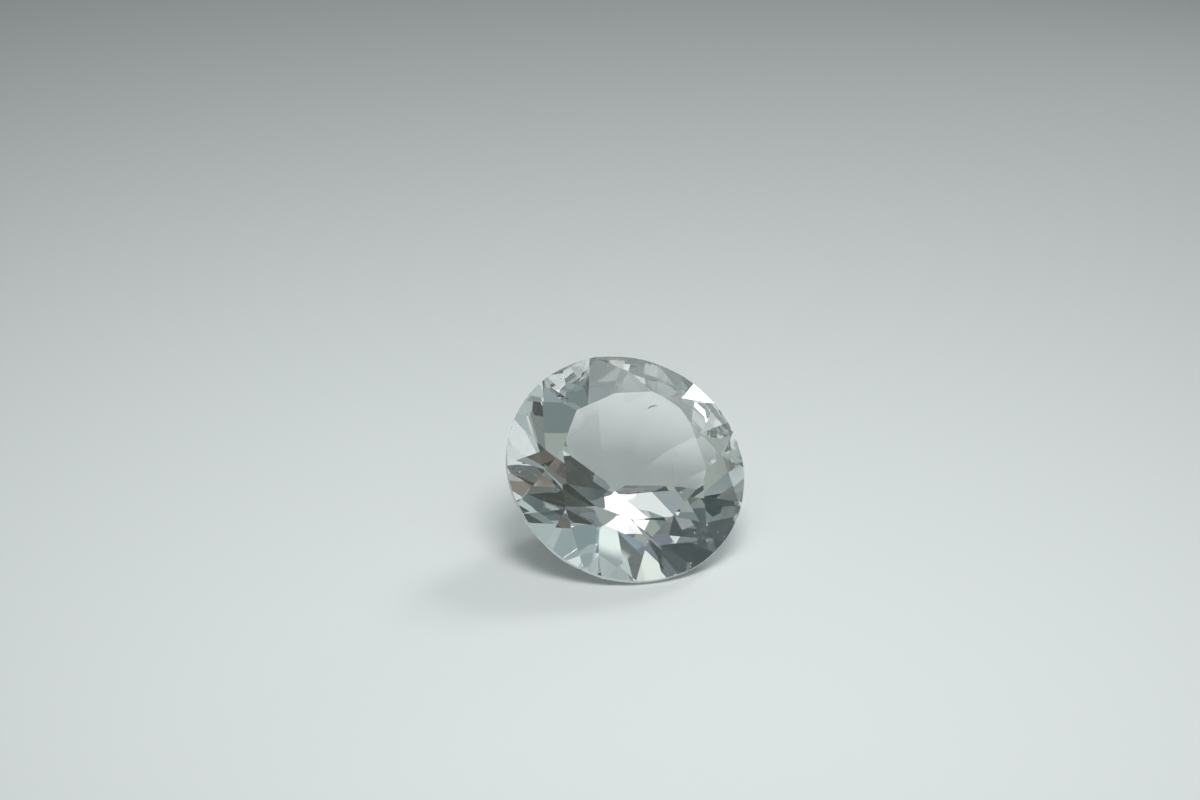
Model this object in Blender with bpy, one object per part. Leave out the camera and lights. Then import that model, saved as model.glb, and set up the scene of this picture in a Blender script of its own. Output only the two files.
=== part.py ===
"""A colourless petalite, hand cut as a round brilliant, lying on one main facet of its pavilion.

The stone is made as a cutter makes it: a round blank is ground flat once for each facet.
The cut is described upright, with the table up, then the stone is laid down.
Lengths are in millimetres and angles in degrees until the last step, which scales to metres.
"""

import math

import bmesh
import bpy
from mathutils import Matrix, Vector

# Blank
GIRDLE_DIAMETER = 8.0
GIRDLE_THICKNESS = 0.24
GIRDLE_SIDES = 96
BLANK_HEIGHT = 12.0

# Crown, counted round the stone from facet 0.
# A plane's turn is the way it faces, its slope is measured from the girdle, and its reach is the
# distance from the axis at which it meets the level of the girdle's edge.
CROWN_HEIGHT = 1.16
BEZEL_TURN = (30.5, 67.0, 117.0, 161.0, 206.0, 251.0, 295.0, 341.5)
BEZEL_SLOPE = (34.6, 35.6, 32.1, 35.9, 41.5, 35.4, 37.2, 36.5)
BEZEL_REACH = (3.95, 3.97, 3.99, 3.90, 4.02, 3.92, 3.97, 3.97)

# A star's tip is on the ridge between two bezels, at this distance from the axis.
STAR_TURN = (16.0, 54.0, 95.5, 157.5, 184.0, 230.5, 277.0, 319.0)
STAR_SLOPE = (21.7, 27.7, 22.6, 32.5, 20.0, 21.4, 23.0, 23.0)
STAR_TIP_RADIUS = (3.06, 2.82, 3.12, 2.92, 3.04, 3.08, 2.98, 3.22)

# Two upper halves go down from each star's tip. They share the middle point on the girdle.
UPPER_START = (-20.0, 36.5, 78.0, 108.5, 148.0, 209.0, 252.0, 291.0)
UPPER_MIDDLE = (3.0, 52.0, 84.0, 130.5, 178.0, 225.0, 271.5, 316.0)
UPPER_END = (22.0, 56.5, 97.5, 144.5, 199.0, 250.0, 288.5, 339.0)

# Pavilion mains, which meet at the culet. The stone lies on one of them.
MAIN_TURN = (13.5, 57.5, 86.5, 123.0, 188.5, 232.5, 279.5, 331.5)
MAIN_SLOPE = (42.1, 41.4, 40.0, 41.1, 40.5, 41.3, 41.2, 41.0)
MAIN_REACH = (4.00, 4.00, 4.00, 4.00, 3.99, 4.00, 3.98, 4.02)
RESTING_MAIN = 6

# Two lower halves go up from a fork on the ridge between two mains to the girdle.
FORK_RADIUS = (1.86, 1.84, 1.62, 1.80, 1.80, 1.80, 1.80, 1.82)
LOWER_START = (5.0, 49.0, 79.0, 132.5, 192.5, 237.0, 285.5, 324.5)
LOWER_MIDDLE = (27.5, 70.5, 104.0, 156.0, 210.5, 256.0, 303.5, 346.0)
LOWER_END = (52.0, 95.0, 129.0, 179.0, 229.0, 274.0, 325.0, 369.0)

# The stone lies leaning to the front, -Y.
FRONT = -90.0

# Looks of the plain solid
BODY_COLOUR = (0.93, 0.95, 0.95, 1.0)
POLISHED_ROUGHNESS = 0.03
PETALITE_IOR = 1.505

GIRDLE_RADIUS = GIRDLE_DIAMETER / 2
CROWN_EDGE = 0.0
PAVILION_EDGE = -GIRDLE_THICKNESS
FOLDS = len(BEZEL_TURN)
MM = 0.001
CUT_TOLERANCE = 1e-5


def around(turn, radius, height):
    """The point at this turn about the axis, this far from it."""
    angle = math.radians(turn)
    return Vector((radius * math.cos(angle), radius * math.sin(angle), height))


def sloped_plane(turn, slope, reach, level, side):
    """A plane as (normal, distance from the centre). side is 1 on the crown and -1 on the pavilion."""
    tilt = math.radians(slope)
    normal = around(turn, math.sin(tilt), side * math.cos(tilt))
    return normal, normal.dot(around(turn, reach, level))


def plane_through(first, second, third, side):
    """The plane through three points, facing up on the crown and down on the pavilion."""
    normal = (second - first).cross(third - first).normalized()
    if normal.z * side < 0:
        normal.negate()
    return normal, normal.dot(first)


def ridge_point(plane_a, plane_b, radius):
    """The point where two neighbouring planes meet, this far from the axis."""
    (normal_a, distance_a), (normal_b, distance_b) = plane_a, plane_b
    along = normal_a.cross(normal_b).normalized()
    rows = Matrix((normal_a, normal_b, along))
    start = rows.inverted() @ Vector((distance_a, distance_b, 0.0))
    # The distance from the axis grows with the step: solve |start + step * along| = radius in XY.
    a = along.xy.length_squared
    b = 2 * start.xy.dot(along.xy)
    c = start.xy.length_squared - radius**2
    root = math.sqrt(b * b - 4 * a * c)
    outward = (normal_a + normal_b).xy
    ends = [start + along * (-b + sign * root) / (2 * a) for sign in (1, -1)]
    return max(ends, key=lambda point: point.xy.dot(outward))


def crown_planes():
    """The table, the bezels, the stars and the upper halves."""
    bezels = [
        sloped_plane(turn, slope, reach, CROWN_EDGE, 1)
        for turn, slope, reach in zip(BEZEL_TURN, BEZEL_SLOPE, BEZEL_REACH)
    ]
    planes = [(Vector((0, 0, 1)), CROWN_HEIGHT)] + bezels
    for k in range(FOLDS):
        tip = ridge_point(bezels[k - 1], bezels[k], STAR_TIP_RADIUS[k])
        star_normal = sloped_plane(STAR_TURN[k], STAR_SLOPE[k], 0.0, CROWN_EDGE, 1)[0]
        planes.append((star_normal, star_normal.dot(tip)))
        middle = around(UPPER_MIDDLE[k], GIRDLE_RADIUS, CROWN_EDGE)
        for turn in (UPPER_START[k], UPPER_END[k]):
            planes.append(plane_through(tip, middle, around(turn, GIRDLE_RADIUS, CROWN_EDGE), 1))
    return planes


def pavilion_planes():
    """The mains and the lower halves."""
    mains = [
        sloped_plane(turn, slope, reach, PAVILION_EDGE, -1)
        for turn, slope, reach in zip(MAIN_TURN, MAIN_SLOPE, MAIN_REACH)
    ]
    planes = list(mains)
    for k in range(FOLDS):
        fork = ridge_point(mains[k], mains[(k + 1) % FOLDS], FORK_RADIUS[k])
        middle = around(LOWER_MIDDLE[k], GIRDLE_RADIUS, PAVILION_EDGE)
        for turn in (LOWER_START[k], LOWER_END[k]):
            planes.append(plane_through(fork, middle, around(turn, GIRDLE_RADIUS, PAVILION_EDGE), -1))
    return planes


def grind(stone, plane):
    """Cut the stone flat along one plane and close the cut with a single face."""
    normal, distance = plane
    bmesh.ops.bisect_plane(
        stone,
        geom=stone.verts[:] + stone.edges[:] + stone.faces[:],
        dist=CUT_TOLERANCE,
        plane_co=normal * distance,
        plane_no=normal,
        clear_outer=True,
    )
    bmesh.ops.holes_fill(stone, edges=[edge for edge in stone.edges if edge.is_boundary])


def cut_stone():
    """The whole stone, upright, in millimetres."""
    stone = bmesh.new()
    corner_radius = GIRDLE_RADIUS / math.cos(math.pi / GIRDLE_SIDES)
    bmesh.ops.create_cone(
        stone,
        cap_ends=True,
        segments=GIRDLE_SIDES,
        radius1=corner_radius,
        radius2=corner_radius,
        depth=BLANK_HEIGHT,
    )
    for plane in crown_planes() + pavilion_planes():
        grind(stone, plane)
    return stone


def lay_down(stone):
    """Turn the stone onto its resting facet, leaning to the front, and put the box's foot at the origin."""
    turn = Matrix.Rotation(math.radians(FRONT - MAIN_TURN[RESTING_MAIN]), 4, "Z")
    lean = Matrix.Rotation(math.radians(MAIN_SLOPE[RESTING_MAIN]), 4, "X")
    bmesh.ops.transform(stone, matrix=lean @ turn, verts=stone.verts)
    corners = [[vert.co[axis] for vert in stone.verts] for axis in range(3)]
    low = Vector([min(values) for values in corners])
    high = Vector([max(values) for values in corners])
    foot = Vector(((low.x + high.x) / 2, (low.y + high.y) / 2, low.z))
    bmesh.ops.translate(stone, vec=-foot, verts=stone.verts)
    bmesh.ops.scale(stone, vec=(MM, MM, MM), verts=stone.verts)


def petalite_material():
    """Clear, colourless, polished."""
    material = bpy.data.materials.new("petalite")
    material.use_nodes = True
    shader = material.node_tree.nodes["Principled BSDF"]
    shader.inputs["Base Color"].default_value = BODY_COLOUR
    shader.inputs["Roughness"].default_value = POLISHED_ROUGHNESS
    shader.inputs["Metallic"].default_value = 0.0
    shader.inputs["IOR"].default_value = PETALITE_IOR
    shader.inputs["Transmission Weight"].default_value = 1.0
    return material


def add_stone():
    """The one object of the model."""
    stone = cut_stone()
    lay_down(stone)
    bmesh.ops.recalc_face_normals(stone, faces=stone.faces)
    mesh = bpy.data.meshes.new("petalite")
    stone.to_mesh(mesh)
    stone.free()
    mesh.materials.append(petalite_material())
    bpy.context.scene.collection.objects.link(bpy.data.objects.new("petalite", mesh))


for leftover in list(bpy.data.objects):
    bpy.data.objects.remove(leftover)
add_stone()
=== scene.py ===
"""The petalite as in the photograph: a clear, hand-cut round stone on a pale sheet, in soft light."""

import math

import bmesh
import bpy
from mathutils import Matrix, Vector, noise


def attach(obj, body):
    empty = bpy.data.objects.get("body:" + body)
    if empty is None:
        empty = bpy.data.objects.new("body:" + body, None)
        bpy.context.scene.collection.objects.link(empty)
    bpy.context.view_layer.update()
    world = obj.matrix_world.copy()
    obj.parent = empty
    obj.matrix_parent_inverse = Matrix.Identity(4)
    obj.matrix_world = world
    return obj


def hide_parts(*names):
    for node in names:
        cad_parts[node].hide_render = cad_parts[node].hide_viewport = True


MM = 0.001

# The stone as it lies: its axis, and the middle of its girdle's upper edge
STONE_AXIS = Vector((0.0, -0.65869, 0.75241))
STONE_CENTRE = Vector((0.0, -0.08704, 2.80216)) * MM
FIRST_DIRECTION = Vector((0.98629, -0.12418, -0.10872))
SECOND_DIRECTION = STONE_AXIS.cross(FIRST_DIRECTION)
GIRDLE_RADIUS = 4.0 * MM

# Facets and edges. A face is the girdle's where its normal leans less than the limit along the axis.
WELD = 1e-4 * MM
COPLANAR = math.radians(0.3)
GIRDLE_LIMIT = 0.05
EDGE_WIDTH = 0.012 * MM
SHARP_FROM = math.radians(3.0)

# Small breaks along the girdle: turn in degrees, height above its upper edge, radius and bite in mm
CHIPS = [
    (247.0, -0.02, 0.16, 0.07),
    (244.5, -0.16, 0.10, 0.04),
    (23.0, 0.00, 0.14, 0.06),
    (18.5, -0.20, 0.10, 0.03),
    (207.0, -0.24, 0.11, 0.04),
    (291.0, 0.00, 0.10, 0.035),
    (336.0, -0.22, 0.12, 0.04),
    (128.0, 0.00, 0.12, 0.04),
    (74.0, -0.24, 0.10, 0.035),
]
CHIP_ROUGHNESS = 0.25
CHIP_LUMPS = 0.5

# Petalite
IOR = 1.505
BODY_TINT = (0.86, 0.95, 0.93, 1.0)
BODY_DENSITY = 10.0

# Facets that aren't quite flat, and the fine lines of the lap. Every scale of noise is in waves per mm.
SWELL_SCALE = 0.55
SWELL_HEIGHT = 0.0016 * MM
LAP_STRETCH = (9.0, 1.2, 3.0)
LAP_SCALE = 1.6
LAP_SHARE = 0.02

# Marks of the hand polish, in mm where the stone lies: middle, inner and outer radius
FROSTED_CORNER = ((3.55, -0.62, 2.80), 0.15, 0.50)
GRAINY_TOP = ((-0.10, 2.20, 5.37), 0.50, 1.15)
GRAINY_SIDE = ((3.75, 0.00, 3.10), 0.20, 0.60)
PITTED_FRONT = ((1.55, -2.65, 1.00), 0.70, 1.50)

# Grain of the spots. The top and the side have a share of the corner's.
LESSER_GRAIN = 0.3
GRAIN_SCALE = 28.0
GRAIN_HEIGHT = 0.002 * MM
GRAIN_ROUGHNESS = 0.22

# A fine scratch between two points, in mm
SCRATCH = ((2.01, 2.19, 5.00), (1.70, 1.27, 4.95))
SCRATCH_WIDTH = 0.02
SCRATCH_CORE = 0.3
SCRATCH_FADE = 0.1
SCRATCH_STRENGTH = 0.35

# Pits: cells per mm, radius in cells, and the share of cells that have one
PIT_SCALE = 6.5
PIT_OUTER, PIT_INNER = 0.20, 0.10
PITS_EVERYWHERE = 0.008
PITS_FRONT = 0.14
PITS_CORNER = 0.7
PITS_TOP = 0.5
BROKEN_ROUGHNESS = 0.5

# The girdle, ground and left matt
GIRDLE_GRAIN_SCALE = 14.0
GIRDLE_GRAIN_HEIGHT = 0.015 * MM
GIRDLE_GRAIN_STRENGTH = 0.8
GIRDLE_DARK = (0.90, 0.93, 0.93, 1.0)
GIRDLE_PALE = (1.0, 1.0, 1.0, 1.0)
GIRDLE_ROUGHNESS = 0.45
GIRDLE_CLEARNESS = 0.3

# A brownish hair of an inclusion under the table: its ends and the way it bows, in mm
INCLUSION = ((0.80, 0.42, 4.57), (1.16, 0.47, 4.62))
INCLUSION_BOW = (0.0, 0.03, 0.035)
INCLUSION_RADIUS = 0.010
INCLUSION_STEPS = 12
INCLUSION_SIDES = 8
INCLUSION_TIP = 0.12
INCLUSION_FULLNESS = 0.7
INCLUSION_WIDE, INCLUSION_THIN = 1.8, 0.7
INCLUSION_MOTTLE = 30.0
INCLUSION_DARK = (0.20, 0.14, 0.09, 1.0)
INCLUSION_PALE = (0.55, 0.46, 0.36, 1.0)
INCLUSION_ROUGHNESS = 0.7

# The upper facet that mirrors a lamp to the camera
SPARK_FACET = Vector((3.074, 1.633, 4.408)) * MM

# The camera of the photograph
CAMERA_AT = Vector((-52.118, -146.251, 78.212)) * MM
CAMERA_RIGHT = Vector((0.949058, -0.312782, 0.038157))
CAMERA_UP = Vector((0.100568, 0.415436, 0.904046))
CAMERA_BACK = Vector((-0.298621, -0.854155, 0.425729))
SENSOR_WIDTH = 36.0
FOCAL_LENGTH = 157.98
NEAREST_SEEN = 1 * MM
FARTHEST_SEEN = 10000 * MM

# The sheet under the stone, with a painted pool of light: its colour is brightest near the stone and
# darker with distance, as lamp fall-off.
# Its level is peak / (1 + (distance / fall) ** 2) - drop, no lower than the floor level, as a share of
# full.
SHEET_HALF = 900 * MM
SHEET_GAP = 0.01 * MM
SHEET_COLOUR = (0.85, 0.878, 0.875)
PAINTED_LIGHT_MIDDLE = (-2.3 * MM, -8.5 * MM, 0.0)
PAINTED_LIGHT_FALL = 110.0 * MM
PAINTED_LIGHT_PEAK = 1.73
PAINTED_LIGHT_DROP = 0.977
PAINTED_LIGHT_FULL = 0.753
PAINTED_LIGHT_FLOOR = 0.16
SHEET_ROUGHNESS = 0.9
SHEET_SHINE = 0.1
FIBRE_SCALE = 2.5
FIBRE_HEIGHT = 0.02 * MM
FIBRE_STRENGTH = 0.3

# Name, target, azimuth, elevation, distance, width and power, and whether the stone shows the lamp.
# The stone shows the cards of the room and the spark, and the other two lamps light the sheet.
LAMPS = [
    ("front_lamp", (0, 0, 0), -4.0, 72.0, 85 * MM, 42 * MM, 0.0290, False),
    ("back_lamp", (0, 0, 0), 128.0, 36.0, 400 * MM, 100 * MM, 0.33, False),
    ("spark_lamp", SPARK_FACET, 131.4, 15.6, 60 * MM, 8 * MM, 0.0013, True),
]

# Passes through facets before a ray of light is given up
LIGHT_BOUNCES = 32


class Graph:
    """Builds the nodes of one material or world."""

    def __init__(self, owner):
        owner.use_nodes = True
        self.tree = owner.node_tree
        self.tree.nodes.clear()

    def add(self, kind, inputs=None, **settings):
        """A node with its settings, and its inputs set to a value or linked to another node's output."""
        node = self.tree.nodes.new("ShaderNode" + kind)
        for name, value in settings.items():
            setattr(node, name, value)
        for name, value in (inputs or {}).items():
            self.set(node.inputs[name], value)
        return node

    def set(self, socket, value):
        if isinstance(value, bpy.types.NodeSocket):
            self.tree.links.new(value, socket)
        else:
            socket.default_value = value

    def maths(self, operation, *values, clamp=False):
        node = self.add("Math", operation=operation, use_clamp=clamp)
        for index, value in enumerate(values):
            self.set(node.inputs[index], value)
        return node.outputs[0]

    def vector_maths(self, operation, *values, output="Vector"):
        node = self.add("VectorMath", operation=operation)
        for index, value in enumerate(values):
            self.set(node.inputs[index], value)
        return node.outputs[output]

    def step(self, value, low, high):
        """0 below low, 1 above high and smooth between them; low may be the larger."""
        node = self.add("MapRange", interpolation_type="SMOOTHSTEP")
        for name, number in (("Value", value), ("From Min", low), ("From Max", high)):
            self.set(node.inputs[name], number)
        return node.outputs["Result"]

    def noise(self, place, scale, detail):
        """Soft noise between 0 and 1."""
        node = self.add("TexNoise", {"Vector": place, "Scale": scale, "Detail": detail})
        return node.outputs["Fac"]

    def mix(self, factor, first, second):
        node = self.add("Mix", data_type="RGBA")
        for index, value in ((0, factor), (6, first), (7, second)):
            self.set(node.inputs[index], value)
        return node.outputs[2]


def around(turn, radius, height):
    """The point of the lying stone at this turn about its axis, in degrees."""
    angle = math.radians(turn)
    across = FIRST_DIRECTION * math.cos(angle) + SECOND_DIRECTION * math.sin(angle)
    return STONE_CENTRE + across * radius + STONE_AXIS * height


def stone_mesh(node):
    """The solid's own mesh with each facet as one flat face and a hair's breadth off its edges."""
    shape = bmesh.new()
    shape.from_mesh(node.data)
    bmesh.ops.remove_doubles(shape, verts=shape.verts, dist=WELD)
    bmesh.ops.dissolve_limit(shape, angle_limit=COPLANAR, verts=shape.verts, edges=shape.edges)
    for face in shape.faces:
        face.material_index = 1 if abs(face.normal.dot(STONE_AXIS)) < GIRDLE_LIMIT else 0
    edges = [
        edge
        for edge in shape.edges
        if edge.calc_face_angle(0.0) > SHARP_FROM
        and not all(face.material_index for face in edge.link_faces)
    ]
    bmesh.ops.bevel(
        shape,
        geom=edges,
        offset=EDGE_WIDTH,
        segments=1,
        affect="EDGES",
        profile=0.5,
        clamp_overlap=True,
    )
    bmesh.ops.recalc_face_normals(shape, faces=shape.faces)
    mesh = bpy.data.meshes.new("petalite_stone")
    shape.to_mesh(mesh)
    shape.free()
    return mesh


def chip_cutters():
    """Small uneven balls at the girdle, where pieces have broken off."""
    shape = bmesh.new()
    for turn, height, radius, bite in CHIPS:
        middle = around(turn, GIRDLE_RADIUS + (radius - bite) * MM, height * MM)
        ball = bmesh.ops.create_icosphere(
            shape, subdivisions=2, radius=radius * MM, matrix=Matrix.Translation(middle)
        )
        for vert in ball["verts"]:
            lump = noise.noise(vert.co / (CHIP_ROUGHNESS * radius * MM) * CHIP_LUMPS)
            vert.co += (vert.co - middle) * lump * CHIP_ROUGHNESS
    mesh = bpy.data.meshes.new("chip_cutters")
    shape.to_mesh(mesh)
    shape.free()
    return mesh


def chip_girdle(stone, girdle_material):
    """Cuts the small breaks out of the stone and leaves them rough."""
    cutters = add_object("chip_cutters", chip_cutters())
    cutters.data.materials.append(girdle_material)
    cut = stone.modifiers.new("chips", "BOOLEAN")
    cut.operation = "DIFFERENCE"
    cut.solver = "EXACT"
    cut.material_mode = "TRANSFER"
    cut.object = cutters
    graph = bpy.context.evaluated_depsgraph_get()
    chipped = bpy.data.meshes.new_from_object(stone.evaluated_get(graph))
    # The cut leaves a few slivers at the rims of the chips.
    shape = bmesh.new()
    shape.from_mesh(chipped)
    bmesh.ops.remove_doubles(shape, verts=shape.verts, dist=WELD)
    bmesh.ops.dissolve_degenerate(shape, edges=shape.edges, dist=WELD)
    shape.to_mesh(chipped)
    shape.free()
    stone.modifiers.clear()
    stone.data = chipped
    chipped.name = "petalite_stone"
    bpy.data.objects.remove(cutters)


def inclusion_mesh():
    """A thin bowed splinter that tapers to both ends."""
    first, last = (Vector(end) * MM for end in INCLUSION)
    bow = Vector(INCLUSION_BOW) * MM
    along = (last - first).normalized()
    side = along.cross(STONE_AXIS).normalized()
    other = along.cross(side)
    shape = bmesh.new()
    rings = []
    for step in range(INCLUSION_STEPS + 1):
        share = step / INCLUSION_STEPS
        swelling = math.sin(math.pi * share)
        middle = first.lerp(last, share) + bow * swelling
        radius = INCLUSION_RADIUS * MM * (INCLUSION_TIP + swelling**INCLUSION_FULLNESS)
        ring = []
        for corner in range(INCLUSION_SIDES):
            angle = 2 * math.pi * corner / INCLUSION_SIDES
            wide = side * math.cos(angle) * INCLUSION_WIDE
            thin = other * math.sin(angle) * INCLUSION_THIN
            ring.append(shape.verts.new(middle + (wide + thin) * radius))
        rings.append(ring)
    for before, after in zip(rings, rings[1:]):
        for corner in range(INCLUSION_SIDES):
            following = (corner + 1) % INCLUSION_SIDES
            shape.faces.new((before[corner], before[following], after[following], after[corner]))
    shape.faces.new(list(reversed(rings[0])))
    shape.faces.new(rings[-1])
    bmesh.ops.recalc_face_normals(shape, faces=shape.faces)
    for face in shape.faces:
        face.smooth = True
    mesh = bpy.data.meshes.new("inclusion")
    shape.to_mesh(mesh)
    shape.free()
    return mesh


def place_in_mm(graph):
    """The place on the piece, in mm."""
    position = graph.add("TexCoord").outputs["Object"]
    return graph.vector_maths("MULTIPLY", position, (1000.0, 1000.0, 1000.0))


def patch(graph, place, spot):
    """1 in the middle of a marked spot and 0 outside it."""
    middle, inner, outer = spot
    distance = graph.vector_maths("DISTANCE", place, middle, output="Value")
    return graph.step(distance, outer, inner)


def scratch_mark(graph, place):
    """1 along the scratch and 0 beside it."""
    first, last = (Vector(end) for end in SCRATCH)
    along = (last - first).normalized()
    length = (last - first).length
    offset = graph.vector_maths("SUBTRACT", place, tuple(first))
    across = graph.vector_maths("CROSS_PRODUCT", offset, tuple(along))
    distance = graph.vector_maths("LENGTH", across, output="Value")
    travel = graph.vector_maths("DOT_PRODUCT", offset, tuple(along), output="Value")
    begun = graph.step(travel, 0.0, SCRATCH_FADE)
    unended = graph.step(travel, length, length - SCRATCH_FADE)
    inside = graph.maths("MULTIPLY", begun, unended)
    beside = graph.step(distance, SCRATCH_WIDTH, SCRATCH_WIDTH * SCRATCH_CORE)
    return graph.maths("MULTIPLY", beside, inside)


def finish_stone(graph, shader):
    """Joins the shader and the body's faint absorption to the output."""
    body = graph.add("VolumeAbsorption", {"Color": BODY_TINT, "Density": BODY_DENSITY})
    graph.add(
        "OutputMaterial",
        {"Surface": shader.outputs["BSDF"], "Volume": body.outputs["Volume"]},
    )


def polished_petalite():
    """Clear and hand polished: facets a little uneven, with fine lines, grainy spots and a few pits."""
    material = bpy.data.materials.new("polished_petalite")
    graph = Graph(material)
    place = place_in_mm(graph)

    # Facets that aren't quite flat, and the lines of the lap
    swell = graph.noise(place, SWELL_SCALE, detail=1.0)
    along = graph.vector_maths("MULTIPLY", place, LAP_STRETCH)
    lines = graph.noise(along, LAP_SCALE, detail=3.0)
    height = graph.maths("MULTIPLY_ADD", lines, LAP_SHARE, swell)
    facets = graph.add("Bump", {"Height": height, "Strength": 1.0, "Distance": SWELL_HEIGHT})

    # Spots that the polish left grainy
    corner = patch(graph, place, FROSTED_CORNER)
    top = graph.maths("MULTIPLY", patch(graph, place, GRAINY_TOP), LESSER_GRAIN)
    side = graph.maths("MULTIPLY", patch(graph, place, GRAINY_SIDE), LESSER_GRAIN)
    grainy = graph.maths("MAXIMUM", graph.maths("MAXIMUM", top, side), corner)
    grain = graph.noise(place, GRAIN_SCALE, detail=2.0)
    grain = graph.maths("MULTIPLY", grain, grainy)
    surface = graph.add(
        "Bump",
        {
            "Height": grain,
            "Strength": 1.0,
            "Distance": GRAIN_HEIGHT,
            "Normal": facets.outputs["Normal"],
        },
    )

    # Pits, close together at the front and few elsewhere
    cells = graph.add("TexVoronoi", {"Vector": place, "Scale": PIT_SCALE})
    chance = graph.add("SeparateColor", {"Color": cells.outputs["Color"]}).outputs["Red"]
    front = patch(graph, place, PITTED_FRONT)
    share = graph.maths("MULTIPLY_ADD", front, PITS_FRONT, PITS_EVERYWHERE)
    share = graph.maths("MULTIPLY_ADD", corner, PITS_CORNER, share)
    share = graph.maths("MULTIPLY_ADD", top, PITS_TOP, share)
    chosen = graph.maths("LESS_THAN", chance, share)
    dot = graph.step(cells.outputs["Distance"], PIT_OUTER, PIT_INNER)
    pit = graph.maths("MULTIPLY", dot, chosen)
    scratch = graph.maths("MULTIPLY", scratch_mark(graph, place), SCRATCH_STRENGTH)
    broken = graph.maths("MAXIMUM", pit, scratch)

    roughness = graph.maths("MULTIPLY", grainy, GRAIN_ROUGHNESS)
    roughness = graph.maths("MULTIPLY_ADD", broken, BROKEN_ROUGHNESS, roughness, clamp=True)
    shader = graph.add(
        "BsdfPrincipled",
        {
            "Base Color": (1.0, 1.0, 1.0, 1.0),
            "Roughness": roughness,
            "IOR": IOR,
            "Transmission Weight": graph.maths("SUBTRACT", 1.0, broken),
            "Normal": surface.outputs["Normal"],
        },
    )
    finish_stone(graph, shader)
    return material


def ground_girdle():
    """The edge of the stone, finely ground and left unpolished."""
    material = bpy.data.materials.new("ground_girdle")
    graph = Graph(material)
    grain = graph.noise(place_in_mm(graph), GIRDLE_GRAIN_SCALE, detail=4.0)
    bump = graph.add(
        "Bump",
        {"Height": grain, "Strength": GIRDLE_GRAIN_STRENGTH, "Distance": GIRDLE_GRAIN_HEIGHT},
    )
    shade = graph.mix(grain, GIRDLE_DARK, GIRDLE_PALE)
    shader = graph.add(
        "BsdfPrincipled",
        {
            "Base Color": shade,
            "Roughness": GIRDLE_ROUGHNESS,
            "IOR": IOR,
            "Transmission Weight": GIRDLE_CLEARNESS,
            "Normal": bump.outputs["Normal"],
        },
    )
    finish_stone(graph, shader)
    return material


def brown_inclusion():
    """A dull foreign mineral, mottled brown."""
    material = bpy.data.materials.new("brown_inclusion")
    graph = Graph(material)
    mottle = graph.noise(place_in_mm(graph), INCLUSION_MOTTLE, detail=3.0)
    colour = graph.mix(mottle, INCLUSION_DARK, INCLUSION_PALE)
    shader = graph.add(
        "BsdfPrincipled", {"Base Color": colour, "Roughness": INCLUSION_ROUGHNESS}
    )
    graph.add("OutputMaterial", {"Surface": shader.outputs["BSDF"]})
    return material


def painted_light_sheet():
    """Matt paper with painted light: its colour is pale near the stone and darker far from it, a painted
    pool of lamp light.
    """
    material = bpy.data.materials.new("painted_light_sheet")
    graph = Graph(material)
    position = graph.add("TexCoord").outputs["Object"]
    # Painted light: the colour darkens with distance from the middle, as lamp light falls off.
    distance = graph.vector_maths("DISTANCE", position, PAINTED_LIGHT_MIDDLE, output="Value")
    spread = graph.maths("DIVIDE", distance, PAINTED_LIGHT_FALL)
    spread = graph.maths("MULTIPLY_ADD", spread, spread, 1.0)
    painted_light = graph.maths("DIVIDE", PAINTED_LIGHT_PEAK, spread)
    painted_light = graph.maths("ADD", painted_light, -PAINTED_LIGHT_DROP)
    painted_light = graph.maths("MAXIMUM", painted_light, PAINTED_LIGHT_FLOOR)
    painted_light = graph.maths("DIVIDE", painted_light, PAINTED_LIGHT_FULL)
    painted_light = graph.maths("MINIMUM", painted_light, 1.0)
    # The painted light scales the paper's colour from black up to full.
    colour = graph.mix(painted_light, (0.0, 0.0, 0.0, 1.0), (*SHEET_COLOUR, 1.0))
    fibres = graph.noise(place_in_mm(graph), FIBRE_SCALE, detail=6.0)
    bump = graph.add(
        "Bump",
        {"Height": fibres, "Strength": FIBRE_STRENGTH, "Distance": FIBRE_HEIGHT},
    )
    shader = graph.add(
        "BsdfPrincipled",
        {
            "Base Color": colour,
            "Roughness": SHEET_ROUGHNESS,
            "Normal": bump.outputs["Normal"],
            "Specular IOR Level": SHEET_SHINE,
        },
    )
    graph.add("OutputMaterial", {"Surface": shader.outputs["BSDF"]})
    return material


def add_object(name, data):
    """An object in the scene."""
    thing = bpy.data.objects.new(name, data)
    bpy.context.scene.collection.objects.link(thing)
    return thing


def add_sheet():
    """One wide flat sheet, a hair below the stone so that the two don't share a plane."""
    mesh = bpy.data.meshes.new("sheet")
    turns = ((-1, -1), (1, -1), (1, 1), (-1, 1))
    corners = [(x * SHEET_HALF, y * SHEET_HALF, -SHEET_GAP) for x, y in turns]
    mesh.from_pydata(corners, [], [(0, 1, 2, 3)])
    mesh.materials.append(painted_light_sheet())
    return add_object("sheet", mesh)


def direction(azimuth, elevation):
    """Azimuth 0 is the front, -Y, and 90 the right, +X."""
    turn, rise = math.radians(azimuth), math.radians(elevation)
    return Vector((math.sin(turn) * math.cos(rise), -math.cos(turn) * math.cos(rise), math.sin(rise)))


def add_lamp(name, target, azimuth, elevation, distance, width, power, seen_in_stone):
    """A round soft lamp, this far from its target in this direction."""
    lamp = bpy.data.lights.new(name, "AREA")
    lamp.shape = "DISK"
    lamp.size = width
    lamp.energy = power
    holder = add_object(name, lamp)
    toward = direction(azimuth, elevation)
    holder.location = Vector(target) + toward * distance
    holder.rotation_euler = toward.to_track_quat("Z", "Y").to_euler()
    holder.visible_transmission = seen_in_stone
    holder.visible_glossy = seen_in_stone


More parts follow.
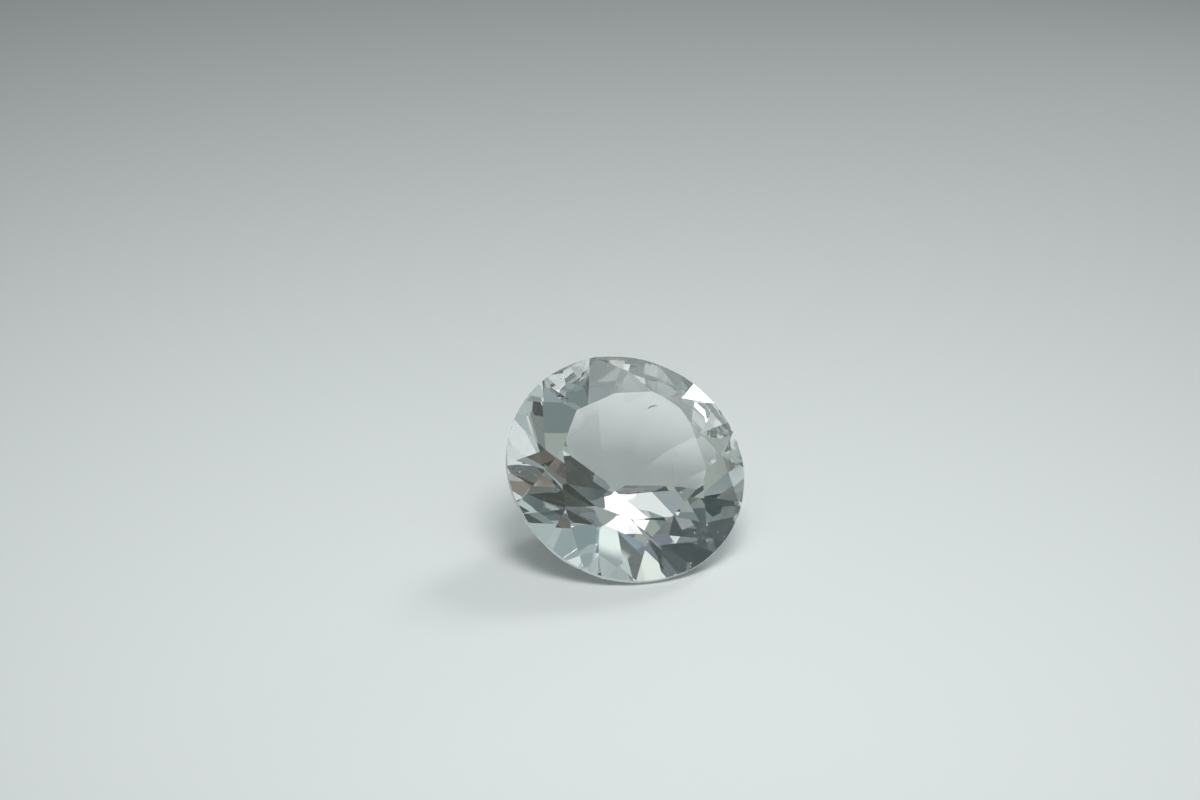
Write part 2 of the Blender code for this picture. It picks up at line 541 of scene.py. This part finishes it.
# What stands round the stone: azimuth, elevation, radius and soft edge in degrees, and brightness
ZENITH = (0.23, 0.26, 0.28)
HORIZON = (0.45, 0.54, 0.53)
CARDS = [
    (-140, 33, 45.0, 10.0, (0.15, 0.17, 0.17)),
    (90, 45, 25.0, 10.0, (0.15, 0.17, 0.17)),
    (-51, 86, 35.4, 5.1, (0.17, 0.19, 0.23)),
    (-47, 55, 18.2, 1.5, (0.76, 0.81, 0.81)),
    (-178, 43, 4.7, 3.0, (0.82, 0.89, 0.83)),
    (36, 37, 3.4, 1.6, (1.60, 1.60, 1.60)),
    (-60, 21, 25.4, 4.9, (0.05, 0.07, 0.07)),
    (27, 17, 16.5, 7.5, (0.06, 0.07, 0.06)),
    (39, 16, 9.5, 6.4, (0.05, 0.06, 0.05)),
    (114, 42, 7.0, 5.0, (1.19, 1.37, 1.14)),
    (166, 39, 8.0, 2.2, (0.60, 0.69, 0.66)),
    (-58, 30, 4.1, 6.9, (0.32, 0.36, 0.36)),
    (-26, 23, 8.8, 2.8, (0.02, 0.03, 0.04)),
    (-18, 31, 10.6, 4.9, (0.18, 0.23, 0.23)),
    (1, 56, 3.7, 3.7, (1.26, 1.42, 1.24)),
    (132, 15, 6.2, 4.1, (0.67, 0.75, 0.74)),
    (15, 19, 4.3, 2.4, (0.22, 0.25, 0.25)),
    (-53, 63, 14.5, 3.7, (1.20, 1.13, 1.13)),
    (-73, 32, 4.0, 1.2, (0.33, 0.37, 0.32)),
    (-86, 15, 9.8, 4.2, (0.07, 0.10, 0.10)),
    (85, 9, 5.8, 1.9, (0.10, 0.14, 0.14)),
    (-170, 39, 4.6, 1.7, (0.12, 0.15, 0.16)),
    (3, 9, 5.6, 1.5, (0.01, 0.01, 0.01)),
    (114, 23, 7.2, 3.4, (0.24, 0.32, 0.33)),
    (-36, 54, 7.0, 2.7, (0.21, 0.27, 0.23)),
    (23, 14, 3.4, 1.7, (0.14, 0.13, 0.11)),
    (46, 65, 21.4, 2.2, (0.54, 0.60, 0.59)),
    (25, 41, 4.9, 1.9, (0.59, 0.63, 0.62)),
    (-148, 77, 6.0, 2.3, (1.60, 1.60, 1.60)),
    (151, 42, 2.9, 1.5, (0.79, 0.91, 0.87)),
    (5, 63, 2.8, 1.5, (0.07, 0.10, 0.10)),
    (37, 29, 4.5, 3.2, (0.19, 0.23, 0.24)),
    (134, 19, 2.5, 4.0, (0.29, 0.37, 0.37)),
    (55, 0, 2.5, 2.3, (0.18, 0.15, 0.12)),
    (-6, 6, 13.0, 3.5, (0.22, 0.25, 0.24)),
    (72, 6, 4.0, 1.2, (0.24, 0.21, 0.17)),
    (-132, 48, 21.1, 7.2, (0.02, 0.035, 0.04)),
    (4, 39, 13.7, 2.2, (0.33, 0.38, 0.35)),
    (-3, 12, 6.0, 1.8, (1.19, 1.21, 1.13)),
    (-99, 63, 3.2, 1.9, (0.25, 0.34, 0.38)),
]


def set_room():
    """The room as the stone shows it: a soft sky with a soft-edged round card for each row."""
    world = bpy.data.worlds.new("room")
    bpy.context.scene.world = world
    graph = Graph(world)
    look = graph.vector_maths("NORMALIZE", graph.add("TexCoord").outputs["Generated"])
    height = graph.add("SeparateXYZ", {0: look}).outputs["Z"]
    colour = graph.mix(graph.step(height, 0.0, 1.0), (*HORIZON, 1.0), (*ZENITH, 1.0))
    for azimuth, elevation, radius, edge, shade in CARDS:
        toward = tuple(direction(azimuth, elevation))
        nearness = graph.vector_maths("DOT_PRODUCT", look, toward, output="Value")
        outer = math.cos(math.radians(radius + edge / 2))
        inner = math.cos(math.radians(max(radius - edge / 2, 0)))
        colour = graph.mix(graph.step(nearness, outer, inner), colour, (*shade, 1.0))
    background = graph.add("Background", {"Color": colour})
    graph.add("OutputWorld", {"Surface": background.outputs[0]})


def add_camera():
    """The photograph's own viewing angle and lens."""
    lens = bpy.data.cameras.new("camera")
    lens.sensor_fit = "HORIZONTAL"
    lens.sensor_width = SENSOR_WIDTH
    lens.lens = FOCAL_LENGTH
    lens.clip_start = NEAREST_SEEN
    lens.clip_end = FARTHEST_SEEN
    camera = add_object("camera", lens)
    turn = Matrix((CAMERA_RIGHT, CAMERA_UP, CAMERA_BACK)).transposed().to_4x4()
    camera.matrix_world = Matrix.Translation(CAMERA_AT) @ turn
    bpy.context.scene.camera = camera


def set_light_paths():
    """Light has to pass through many facets before it leaves the stone."""
    scene = bpy.context.scene
    scene.view_settings.view_transform = "Standard"
    scene.cycles.max_bounces = LIGHT_BOUNCES
    scene.cycles.glossy_bounces = LIGHT_BOUNCES
    scene.cycles.transmission_bounces = LIGHT_BOUNCES
    scene.cycles.caustics_refractive = True
    scene.cycles.caustics_reflective = True


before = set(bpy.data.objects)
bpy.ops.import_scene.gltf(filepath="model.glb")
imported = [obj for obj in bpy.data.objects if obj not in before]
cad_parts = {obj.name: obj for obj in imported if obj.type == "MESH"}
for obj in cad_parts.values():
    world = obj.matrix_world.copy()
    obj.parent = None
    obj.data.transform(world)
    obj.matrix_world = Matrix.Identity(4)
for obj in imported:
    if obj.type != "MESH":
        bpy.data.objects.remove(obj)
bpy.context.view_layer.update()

girdle = ground_girdle()
stone = add_object("petalite_stone", stone_mesh(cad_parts["petalite"]))
stone.data.materials.append(polished_petalite())
stone.data.materials.append(girdle)
chip_girdle(stone, girdle)
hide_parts("petalite")
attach(stone, "root")

inclusion = add_object("inclusion", inclusion_mesh())
inclusion.data.materials.append(brown_inclusion())
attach(inclusion, "root")

sheet = add_sheet()
for lamp_row in LAMPS:
    add_lamp(*lamp_row)
add_camera()
set_room()
set_light_paths()
